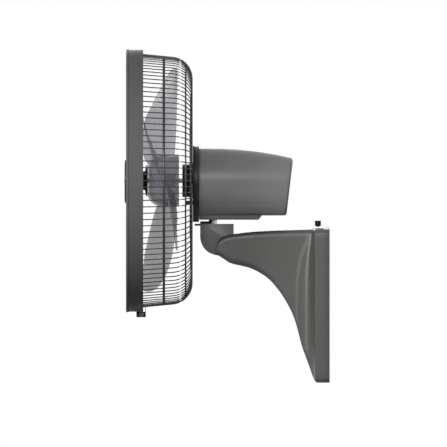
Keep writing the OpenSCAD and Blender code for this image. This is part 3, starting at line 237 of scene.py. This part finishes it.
def loft(name, rings):
    """A closed skin over rings of points, all rings with as many points."""
    n, m = len(rings[0]), len(rings)
    faces = [tuple(reversed(range(n))), tuple((m - 1) * n + i for i in range(n))]
    faces += [(j * n + i, j * n + (i + 1) % n, (j + 1) * n + (i + 1) % n, (j + 1) * n + i)
              for j in range(m - 1) for i in range(n)]
    return new_piece(name, [point for ring in rings for point in ring], faces)


def prism(name, profile, half, across=0.0):
    """A block with a profile of (out, height) points seen from the side."""
    return loft(name, [[Vector((across + x, -out, z)) for out, z in profile] for x in (-half, half)])


def block(name, x, out, z):
    return prism(name, [(out[0], z[0]), (out[1], z[0]), (out[1], z[1]), (out[0], z[1])],
                 (x[1] - x[0]) / 2, (x[0] + x[1]) / 2)


def rod(name, start, end, radius):
    along = (Vector(end) - Vector(start)).normalized()
    across = along.orthogonal().normalized()
    up = along.cross(across)
    turn = [2 * math.pi * k / ROD_SIDES for k in range(ROD_SIDES)]
    return loft(name, [[Vector(at) + radius * (math.cos(a) * across + math.sin(a) * up) for a in turn]
                       for at in (start, end)])


def outwards(piece):
    """Turns every face of a closed skin to look outwards."""
    shape = bmesh.new()
    shape.from_mesh(piece.data)
    bmesh.ops.recalc_face_normals(shape, faces=shape.faces)
    shape.to_mesh(piece.data)
    shape.free()


def applied(piece):
    """Makes a piece's modifiers part of its mesh."""
    seen = piece.evaluated_get(bpy.context.evaluated_depsgraph_get())
    mesh = bpy.data.meshes.new_from_object(seen)
    piece.modifiers.clear()
    piece.data = mesh


def carve(piece, tools):
    """Cuts the tools out of a piece."""
    outwards(piece)
    for tool in tools:
        outwards(tool)
        change = piece.modifiers.new("carve", "BOOLEAN")
        change.operation = "DIFFERENCE"
        change.solver = "EXACT"
        change.object = tool
    applied(piece)
    for tool in tools:
        bpy.data.objects.remove(tool)


def bevelled(piece, width):
    """Rounds a piece's sharp edges."""
    bevel = piece.modifiers.new("rounding", "BEVEL")
    bevel.width = width
    bevel.segments = BEVEL_SEGMENTS
    bevel.limit_method = "ANGLE"
    bevel.angle_limit = BEVEL_FROM
    applied(piece)
    smooth(piece.data)


def soften(name, width):
    """A copy of a frame node with its corners merged and its sharp edges rounded, shown in the node's place."""
    shape = bmesh.new()
    shape.from_mesh(nodes[name].data)
    shape.transform(nodes[name].matrix_world)
    bmesh.ops.remove_doubles(shape, verts=shape.verts, dist=MERGE)
    bmesh.ops.dissolve_limit(shape, angle_limit=FLAT, verts=shape.verts, edges=shape.edges)
    piece = new_piece(name + "_look", [], [])
    shape.to_mesh(piece.data)
    shape.free()
    bevelled(piece, width)
    return dress(piece, BODY_OF[name], SLOT_OF[name], name)


# ---------------------------------------------------------------- bracket shell

ARM_REACH = 195 * MM
BASE_H, BASE_DROP = 261 * MM, 130.9 * MM
BASE_TOP = BASE_H - BASE_DROP
BASE_HALF, ARM_HALF = 60 * MM, 30 * MM
BASE_SIDE = 25 * MM
ARM_ROUND = 9 * MM
SHELL_WALL = 3 * MM
# Towards the wall the arm steps out a little, then sweeps out to the side of the base
FLARE_STEP, FLARE_BEVEL = 1.2 * MM, 5 * MM
STEP_REACH, SWEEP_REACH = 34 * MM, 20.5 * MM
FLARE_TALL, FLARE_BACK_SHARE, FLARE_POWER = 137.4 * MM, 0.92, 3.3
TOP_SHARES = ((0, 1), (0.26, 0.996), (0.61, 0.986), (0.838, 0.970), (0.9, 0.961), (0.94, 0.949),
              (0.965, 0.934), (0.98, 0.912), (0.991, 0.866), (1, 0.835))
LOW_SHARES = ((0, 0), (0.1, 0), (0.12, 0.004), (0.143, 0.032), (0.165, 0.0773), (0.192, 0.1332), (0.217, 0.185),
              (0.242, 0.2367), (0.303, 0.405), (0.355, 0.495), (0.433, 0.590), (0.52, 0.667), (0.608, 0.715),
              (0.695, 0.746), (0.782, 0.763), (0.869, 0.778), (0.922, 0.803), (0.975, 0.827), (1, 0.831))
# The rounded edge's share of a low arm, and how finely the rings follow the shape
ARM_ROUND_SHARE = 0.476
ROUND_TURNS, SIDE_LEVELS = 8, 28
BASE_RING_SHARES = (0, 0.48, 0.8, 0.86, 0.91, 0.96)
SWEEP_END, SWEEP_RINGS, SWEEP_POWER = 72.15 * MM, 48, 1.7
NOSE_RINGS, NOSE_POWER = 44, 1.6
NOSE_SHORT = 0.3 * MM
SHELL_EDGE, PAD_EDGE = 0.7 * MM, 0.3 * MM
# What is cut from the shell: the neck's slot, the panel's window, the plate's notch, the lead's and the screw's holes
PAST = 1 * MM
SLOT_HALF = 23.7 * MM
SLOT_OUTLINE = ((152 * MM, 0.131), (0.196, 0.131), (0.196, 60 * MM), (163 * MM, 60 * MM), (163 * MM, 96 * MM),
                (152 * MM, 96 * MM))
PANEL_SHARES = (0.146, 0.239)
PANEL_HALF = 26.3 * MM
WINDOW_HALF_DEPTH = 6 * MM
NOTCH_HALF, NOTCH_OUT, NOTCH_REACH = 19.3 * MM, 2.8 * MM, 6 * MM
LEAD_OUT, LEAD_R = 10 * MM, 6 * MM
KNOB_OUT, KNOB_R = 20 * MM, 2.8 * MM
PAD_HALF, PAD_OUTS, PAD_SUNK, PAD_TOP = 19 * MM, (9 * MM, 23.3 * MM), 1.5 * MM, 131.3 * MM
POST_X, POST_HEIGHTS = (-38, 38), (-80, 90)
POST_START, POST_R = 5.5 * MM, 4.5 * MM


def curve(x, table):
    """A smooth line through a table of points."""
    last = len(table) - 1
    i = next((k for k in range(last) if x < table[k + 1][0]), last - 1)

    def slope(k):
        a, b = table[max(k - 1, 0)], table[min(k + 1, last)]
        return (b[1] - a[1]) / (b[0] - a[0])
    (ax, ay), (bx, by) = table[i], table[i + 1]
    w = bx - ax
    s = (x - ax) / w
    q, c = s * s, s ** 3
    return ay * (2 * c - 3 * q + 1) + by * (3 * q - 2 * c) + w * (slope(i) * (c - 2 * q + s) + slope(i + 1) * (c - q))


def arm_top(out):
    return BASE_H * curve(min(out / ARM_REACH, 1), TOP_SHARES) - BASE_DROP


def arm_low(out):
    return BASE_H * curve(max(0, min(out / ARM_REACH, 1)), LOW_SHARES) - BASE_DROP


def flare_line(reach, z):
    up = max(0, min(1, 1 - (BASE_TOP - z) / FLARE_TALL))
    return reach * (1 - FLARE_BACK_SHARE * up ** FLARE_POWER)


def half_width(out, z):
    step = max(0, min(1, (BASE_SIDE + flare_line(STEP_REACH, z) - out) / FLARE_BEVEL))
    t = max(0, min(1, 1 - (out - BASE_SIDE) / flare_line(SWEEP_REACH, z)))
    sweep = (BASE_HALF - ARM_HALF - FLARE_STEP) * (1 - math.sqrt(1 - t * t))
    return ARM_HALF + FLARE_STEP * step * step * (3 - 2 * step) + sweep


def arm_ring(out, wall):
    """The arm's outline at a distance from the wall, or its hollow's where a wall thickness is given."""
    top = min(arm_top(max(out, 0)) - wall, arm_top(out + wall))
    low = max(arm_low(out) + wall, arm_low(out + wall))
    r = min(ARM_ROUND - wall, (top - low) * ARM_ROUND_SHARE)
    angles = [math.pi / 2 * k / ROUND_TURNS for k in range(ROUND_TURNS + 1)]
    rows = [(r * (1 - math.cos(a)), low + r - r * math.sin(a)) for a in reversed(angles)]
    rows += [(0, low + r + (top - low - 2 * r) * k / SIDE_LEVELS) for k in range(1, SIDE_LEVELS)]
    rows += [(r * (1 - math.cos(a)), top - r + r * math.sin(a)) for a in angles]
    half = [(min(half_width(out, z) - wall, half_width(out + wall, z)) - back, z) for back, z in rows]
    return [Vector((x, -out, z)) for x, z in half] + [Vector((-x, -out, z)) for x, z in reversed(half)]


def arm_outs(last):
    """Rings stand closest where the shape turns fastest."""
    outs = [share * BASE_SIDE for share in BASE_RING_SHARES]
    outs += [BASE_SIDE + (SWEEP_END - BASE_SIDE) * (i / SWEEP_RINGS) ** SWEEP_POWER for i in range(SWEEP_RINGS + 1)]
    return outs + [SWEEP_END + (last - SWEEP_END) * (1 - (1 - i / NOSE_RINGS) ** NOSE_POWER)
                   for i in range(1, NOSE_RINGS + 1)]


def knob_hole():
    return rod("pin", (0, -KNOB_OUT, 0.12), (0, -KNOB_OUT, 0.14), KNOB_R)


def panel_window():
    """The cutter of the control panel's window, square to the arm's front there."""
    (out_a, low_a), (out_b, low_b) = [(out, arm_low(out)) for out in (ARM_REACH * share for share in PANEL_SHARES)]
    away = Vector((low_b - low_a, out_a - out_b)).normalized() * WINDOW_HALF_DEPTH
    return prism("window", [(out_a + away.x, low_a + away.y), (out_b + away.x, low_b + away.y),
                            (out_b - away.x, low_b - away.y), (out_a - away.x, low_a - away.y)], PANEL_HALF)


def build_bracket():
    last = ARM_REACH - NOSE_SHORT
    shell = loft("bracket_shell_look", [arm_ring(out, 0) for out in arm_outs(last)])
    hollow = loft("hollow", [arm_ring(out, SHELL_WALL) for out in [-PAST] + arm_outs(last - 1.5 * SHELL_WALL)])
    slot = prism("slot", SLOT_OUTLINE, SLOT_HALF)
    notch = block("notch", (-NOTCH_HALF, NOTCH_HALF), (-PAST, NOTCH_OUT),
                  (BASE_TOP - NOTCH_REACH, BASE_TOP + NOTCH_REACH))
    lead = rod("lead", (0, -LEAD_OUT, -0.133), (0, -LEAD_OUT, -0.127), LEAD_R)
    carve(shell, [hollow, slot, panel_window(), notch, lead, knob_hole()])
    bevelled(shell, SHELL_EDGE)
    dress(shell, "bracket", "bracket_grey", "bracket_shell")
    pad = block("bracket_pad", (-PAD_HALF, PAD_HALF), PAD_OUTS, (BASE_TOP - PAD_SUNK, PAD_TOP))
    carve(pad, [knob_hole()])
    bevelled(pad, PAD_EDGE)
    dress(pad, "bracket", "bracket_grey")
    for i, (x, z) in enumerate((x * MM, z * MM) for x in POST_X for z in POST_HEIGHTS):
        post = rod(f"bracket_post_{i + 1}", (x, -POST_START, z), (x, -BASE_SIDE, z), POST_R)
        dress(post, "bracket", "bracket_grey")


# ---------------------------------------------------------------- motor housing

COVER_REAR = 222.2 * MM
HOUSING_D, HOUSING_REAR_W = 111.4 * MM, 88 * MM
HOUSING_REAR = 62 * MM
HOUSING_WALL = 2.5 * MM
TOP_DROP = 18 * MM
BOTTOM_Z, CREASE_Z = 153.3 * MM, 166 * MM
REAR_LEAN = 0.118
REAR_ROUND = 4.5 * MM
# How the width and the top fall away towards the rear
SIDE_POWER, TOP_POWER = 1.8, 2.1
# Half width of the flank from the crease up to the axis, by a measure of the height
FLANK = ((1, 0.90), (1.9, 0.975), (2.9, 0.995), (4.661, 1.0))
BELLY_SHARE = 0.66
FLANK_POINTS, CROWN_POINTS = 14, 24
HOUSING_RINGS, REAR_RINGS = 36, 8
HOUSING_EDGE = 0.4 * MM
BELLY_HALF, BELLY_OUT, BELLY_HEIGHTS = 28 * MM, 113 * MM, (152 * MM, 157 * MM)
EAR_X, EAR_OUT, EAR_HEIGHTS, EAR_R = (-27.5, 27.5), 0.140, (0.152, 0.157), 3.8 * MM
VENT_N, VENT_PITCH, VENT_HALF = 9, 7 * MM, 1.5 * MM
VENT_OUTS, VENT_HEIGHTS = (57 * MM, 80 * MM), (0.180, 0.232)


def housing_ring(t, wall, inset):
    """A ring at t from 0 at the cover to 1 at the rear face, which leans."""
    w = HOUSING_D / 2 - (HOUSING_D - HOUSING_REAR_W) / 2 * t ** SIDE_POWER - wall - inset
    low = BOTTOM_Z + wall + inset
    crease = low + CREASE_Z - BOTTOM_Z
    top = AXIS_Z + HOUSING_D / 2 - TOP_DROP * t ** TOP_POWER - wall - inset
    first, last = FLANK[0][0], FLANK[-1][0]
    half = [(w * BELLY_SHARE, low)]
    for k in range(FLANK_POINTS):
        up = k / FLANK_POINTS
        half.append((w * curve(first + (last - first) * up, FLANK), crease + (AXIS_Z - crease) * up))
    for k in range(CROWN_POINTS):
        a = math.pi / 2 * k / CROWN_POINTS
        half.append((w * math.cos(a), AXIS_Z + (top - AXIS_Z) * math.sin(a)))
    front = COVER_REAR + (PAST if wall else 0)
    ring = []
    for x, z in half + [(0, top)] + [(-x, z) for x, z in reversed(half)]:
        rear = HOUSING_REAR + REAR_LEAN * (AXIS_Z + HOUSING_D / 2 - TOP_DROP - z) + wall
        ring.append(Vector((x, -front + t * (front - rear), z)))
    return ring


def housing_skin(name, wall):
    full = COVER_REAR - HOUSING_REAR
    rings = [housing_ring(i / HOUSING_RINGS * (1 - REAR_ROUND / full), wall, 0) for i in range(HOUSING_RINGS + 1)]
    rings += [housing_ring(1 - REAR_ROUND * (1 - math.sin(a)) / full, wall, REAR_ROUND * (1 - math.cos(a)))
              for a in (math.pi / 2 * k / REAR_RINGS for k in range(1, REAR_RINGS + 1))]
    return loft(name, rings)


def build_housing():
    shell = housing_skin("motor_housing_look", 0)
    tools = [housing_skin("hollow", HOUSING_WALL),
             block("belly", (-BELLY_HALF, BELLY_HALF), (BELLY_OUT, COVER_REAR + PAST), BELLY_HEIGHTS)]
    for x in EAR_X:
        start, end = ((x * MM, -EAR_OUT, z) for z in EAR_HEIGHTS)
        tools.append(rod("ear_hole", start, end, EAR_R))
    for i in range(VENT_N):
        x = (i - (VENT_N - 1) / 2) * VENT_PITCH
        tools.append(block("vent", (x - VENT_HALF, x + VENT_HALF), VENT_OUTS, VENT_HEIGHTS))
    carve(shell, tools)
    bevelled(shell, HOUSING_EDGE)
    dress(shell, "head", "housing_grey", "motor_housing")


# ---------------------------------------------------------------- guards

GUARD_BACK = 232.9 * MM
CORNER = 37 * MM
FLARE = math.radians(5.5)
REAR_GUARD_R = 215.5 * MM
RING_REAR = 317.05 * MM
WIRE_END = 322.4 * MM
TANGENT_OUT = GUARD_BACK + CORNER * (1 - math.sin(FLARE))
CORNER_OUT = GUARD_BACK + CORNER
CORNER_R = REAR_GUARD_R - CORNER * math.cos(FLARE) - (RING_REAR - TANGENT_OUT) * math.tan(FLARE)
# Each rear wire lies on the guard plate near the axis and steps back to the guard's own plane
WIRE_TIP = 44 * MM
STEP_TO, STEP_FROM, STEP_BEND, STEP_SOFT = 93 * MM, 97.5 * MM, 1 * MM, 0.2 * MM
WIRE_REAR = GUARD_BACK + WIRE_R
WIRE_FRONT = (235.2 + 1.2 + 0.02) * MM + WIRE_R
CORNER_STEPS = 10
FRONT_WIRE = 343.6 * MM
FRONT_START, FRONT_END = 38.2 * MM, 219.2 * MM
RIM_R, RIM_D, HOOP_D = 218.116 * MM, 4.4 * MM, 2.8 * MM
REAR_RIM_OUT, FRONT_RIM_OUT, SIDE_HOOP_OUT = 321 * MM, 340.43 * MM, 281.9 * MM
REAR_HOOPS, FRONT_HOOPS = (99.6, 125, 150), (75, 115, 155, 190)
HOOP_STEPS, HOOP_SIDES = 240, 12
CORNER_HOOP_TURN = math.radians(42)
HOOP_GAP, CORNER_GAP = 0.02 * MM, 0.08 * MM


def side_r(out):
    """Radius of the side wires' middle line at a distance from the wall."""
    r = CORNER_R + (CORNER - WIRE_R) * math.cos(FLARE)
    return r + (out - CORNER_OUT + (CORNER - WIRE_R) * math.sin(FLARE)) * math.tan(FLARE)


def spokes(profile):
    """The same wire at every angle, from a profile of (radius, out) points."""
    return [([polar(r, out, math.radians(360 * i / WIRE_N)) for r, out in profile], WIRE_R)
            for i in range(WIRE_N)]


def hoop(r, out, diameter):
    return [polar(r, out, 2 * math.pi * i / HOOP_STEPS) for i in range(HOOP_STEPS)], diameter / 2


def build_guards():
    rear = [(WIRE_TIP, WIRE_FRONT), (STEP_TO - STEP_BEND, WIRE_FRONT), (STEP_TO, WIRE_FRONT - STEP_SOFT),
            (STEP_FROM, WIRE_REAR + STEP_SOFT), (STEP_FROM + STEP_BEND, WIRE_REAR)]
    rear += arc((CORNER_R, CORNER_OUT), CORNER - WIRE_R, 0, math.pi / 2 - FLARE, CORNER_STEPS)
    rear += [(side_r(WIRE_END), WIRE_END)]
    dress(tubes("rear_guard_wires", spokes(rear)), "head", "wire_grey", "rear_side_wires", "rear_back_wires")
    dress(tubes("front_guard_wires", spokes([(FRONT_START, FRONT_WIRE), (FRONT_END, FRONT_WIRE)])),
          "head", "wire_grey", "front_wires")
    side_hoop_r = side_r(SIDE_HOOP_OUT) - WIRE_R / math.cos(FLARE) - RIM_D / 2 - HOOP_GAP
    inner = CORNER - 2 * WIRE_R - HOOP_D / 2 - CORNER_GAP
    rear_hoops = [hoop(side_hoop_r, SIDE_HOOP_OUT, RIM_D),
                  hoop(CORNER_R + inner * math.sin(CORNER_HOOP_TURN),
                       CORNER_OUT - inner * math.cos(CORNER_HOOP_TURN), HOOP_D),
                  hoop(RIM_R, REAR_RIM_OUT, RIM_D)]
    rear_hoops += [hoop(r * MM, WIRE_REAR + WIRE_R + HOOP_D / 2 + HOOP_GAP, HOOP_D) for r in REAR_HOOPS]
    dress(tubes("rear_guard_rings", rear_hoops, HOOP_SIDES, True), "head", "wire_grey", "rear_rings")
    front_hoops = [hoop(r * MM, FRONT_WIRE - WIRE_R - HOOP_D / 2 - HOOP_GAP, HOOP_D) for r in FRONT_HOOPS]
    front_hoops.append(hoop(RIM_R, FRONT_RIM_OUT, RIM_D))
    dress(tubes("front_guard_rings", front_hoops, HOOP_SIDES, True), "head", "wire_grey", "front_rings")


build_guards()
build_bracket()
build_housing()

# ---------------------------------------------------------------- moulded and pressed pieces with rounded edges

# Width of each piece's rounding, in millimetres
ROUNDED = {
    "neck_housing": 1.2, "front_cover": 0.8, "swing_plate": 0.6,
    "guard_nut": 0.4, "blade_nut": 0.5, "lock_knob": 0.5, "ring_clip": 0.5, "wall_plate": 0.4,
    "control_panel": 0.25, "power_button": 0.4, "speed_button": 0.4, "swing_button": 0.4, "timer_button": 0.4,
    "fan_blade": 0.5, "guard_ring": 0.3, "badge": 0.6, "guard_plate": 0.3, "arm_frame": 0.4, "cord_grommet": 0.5,
}
for name, width in ROUNDED.items():
    soften(name, width * MM)

# Frame nodes that show as they are get their finish; the screw under the ring gets dark steel instead of its slot's
# finish, painted shade for the shade it sits in under the ring
PAINTED_SHADE_FINISHES = {"ring_screw": "dark_steel"}
for name, node in nodes.items():
    node.data.materials.clear()
    node.data.materials.append(FINISHES[PAINTED_SHADE_FINISHES.get(name, SLOT_OF[name])])
    smooth(node.data)


# ---------------------------------------------------------------- stage, lights and camera

PHOTO_CENTRE = Vector((0, -0.1805, 0.1397))
PHOTO_WIDTH = 0.7599
CAMERA_AWAY = 3
FLOOR_Z, FLOOR_HALF, FLOOR_ROUGH = -0.62, 6, 0.9
FLOOR_SEEN, FLOOR_SCATTERS = (0.92, 0.92, 0.92, 1), (0.05, 0.05, 0.05, 1)
# Heights on the sky between which its light grows
SKY_LOW, SKY_HIGH = -0.6, 0.8
WHITE = (1, 1, 1, 1)


def seen_directly(tree):
    """1 for rays from the camera, a reflection or a clear surface, and 0 for light that a piece scatters."""
    path = tree.nodes.new("ShaderNodeLightPath")
    total = path.outputs["Is Camera Ray"]
    for ray in ("Is Glossy Ray", "Is Transmission Ray"):
        either = tree.nodes.new("ShaderNodeMath")
        either.operation = "MAXIMUM"
        tree.links.new(total, either.inputs[0])
        tree.links.new(path.outputs[ray], either.inputs[1])
        total = either.outputs[0]
    return total


def build_stage():
    verts = [(x * FLOOR_HALF, y * FLOOR_HALF, FLOOR_Z) for x, y in ((-1, -1), (1, -1), (1, 1), (-1, 1))]
    floor = new_piece("floor", verts, [(0, 1, 2, 3)])
    material = bpy.data.materials.new("floor_white")
    material.use_nodes = True
    tree = material.node_tree
    tint = tree.nodes.new("ShaderNodeMix")
    tint.data_type = "RGBA"
    tint.inputs[MIX_A].default_value = FLOOR_SCATTERS
    tint.inputs[MIX_B].default_value = FLOOR_SEEN
    bsdf = tree.nodes["Principled BSDF"]
    tree.links.new(seen_directly(tree), tint.inputs[MIX_FACTOR])
    tree.links.new(tint.outputs[MIX_RESULT], bsdf.inputs["Base Color"])
    bsdf.inputs["Roughness"].default_value = FLOOR_ROUGH
    floor.data.materials.append(material)


def build_world(above, below, seen):
    """Soft light, stronger from above, and white where a view or a reflection looks past the object."""
    world = bpy.data.worlds.new("studio")
    bpy.context.scene.world = world
    world.use_nodes = True
    tree = world.node_tree
    tree.nodes.clear()
    out = tree.nodes.new("ShaderNodeOutputWorld")
    place = tree.nodes.new("ShaderNodeTexCoord")
    split = tree.nodes.new("ShaderNodeSeparateXYZ")
    tree.links.new(place.outputs["Generated"], split.inputs[0])
    level = tree.nodes.new("ShaderNodeMapRange")
    level.inputs["From Min"].default_value = SKY_LOW
    level.inputs["From Max"].default_value = SKY_HIGH
    level.inputs["To Min"].default_value = below
    level.inputs["To Max"].default_value = above
    tree.links.new(split.outputs["Z"], level.inputs["Value"])
    dim = tree.nodes.new("ShaderNodeBackground")
    dim.inputs["Color"].default_value = WHITE
    tree.links.new(level.outputs["Result"], dim.inputs["Strength"])
    white = tree.nodes.new("ShaderNodeBackground")
    white.inputs["Color"].default_value = WHITE
    white.inputs["Strength"].default_value = seen
    mix = tree.nodes.new("ShaderNodeMixShader")
    tree.links.new(seen_directly(tree), mix.inputs[0])
    tree.links.new(dim.outputs[0], mix.inputs[1])
    tree.links.new(white.outputs[0], mix.inputs[2])
    tree.links.new(mix.outputs[0], out.inputs["Surface"])


def lamp(name, place, aim, size, power):
    light = bpy.data.lights.new(name, "AREA")
    light.shape = "DISK"
    light.size = size
    light.energy = power
    thing = bpy.data.objects.new(name, light)
    thing.location = place
    thing.rotation_euler = (Vector(aim) - Vector(place)).to_track_quat("-Z", "Y").to_euler()
    bpy.context.scene.collection.objects.link(thing)


def build_camera():
    camera = bpy.data.cameras.new("camera")
    camera.type = "ORTHO"
    camera.ortho_scale = PHOTO_WIDTH
    thing = bpy.data.objects.new("camera", camera)
    thing.location = PHOTO_CENTRE + Vector((CAMERA_AWAY, 0, 0))
    thing.rotation_euler = (math.pi / 2, 0, math.pi / 2)
    bpy.context.scene.collection.objects.link(thing)
    bpy.context.scene.camera = thing


build_stage()
build_world(above=0.14, below=0.02, seen=1.0)
aim = (0, -0.2, 0.15)
lamp("key", (2.5, -0.4, 0.9), aim, 1.0, 22)
lamp("back_key", (-2.4, -0.7, 0.9), aim, 1.2, 22)
lamp("front_key", (1.75, -1.85, 0.7), aim, 0.7, 46)
lamp("wall_fill", (0.6, 2.6, 0.9), aim, 1.6, 8)
build_camera()
bpy.context.scene.view_settings.view_transform = "Standard"
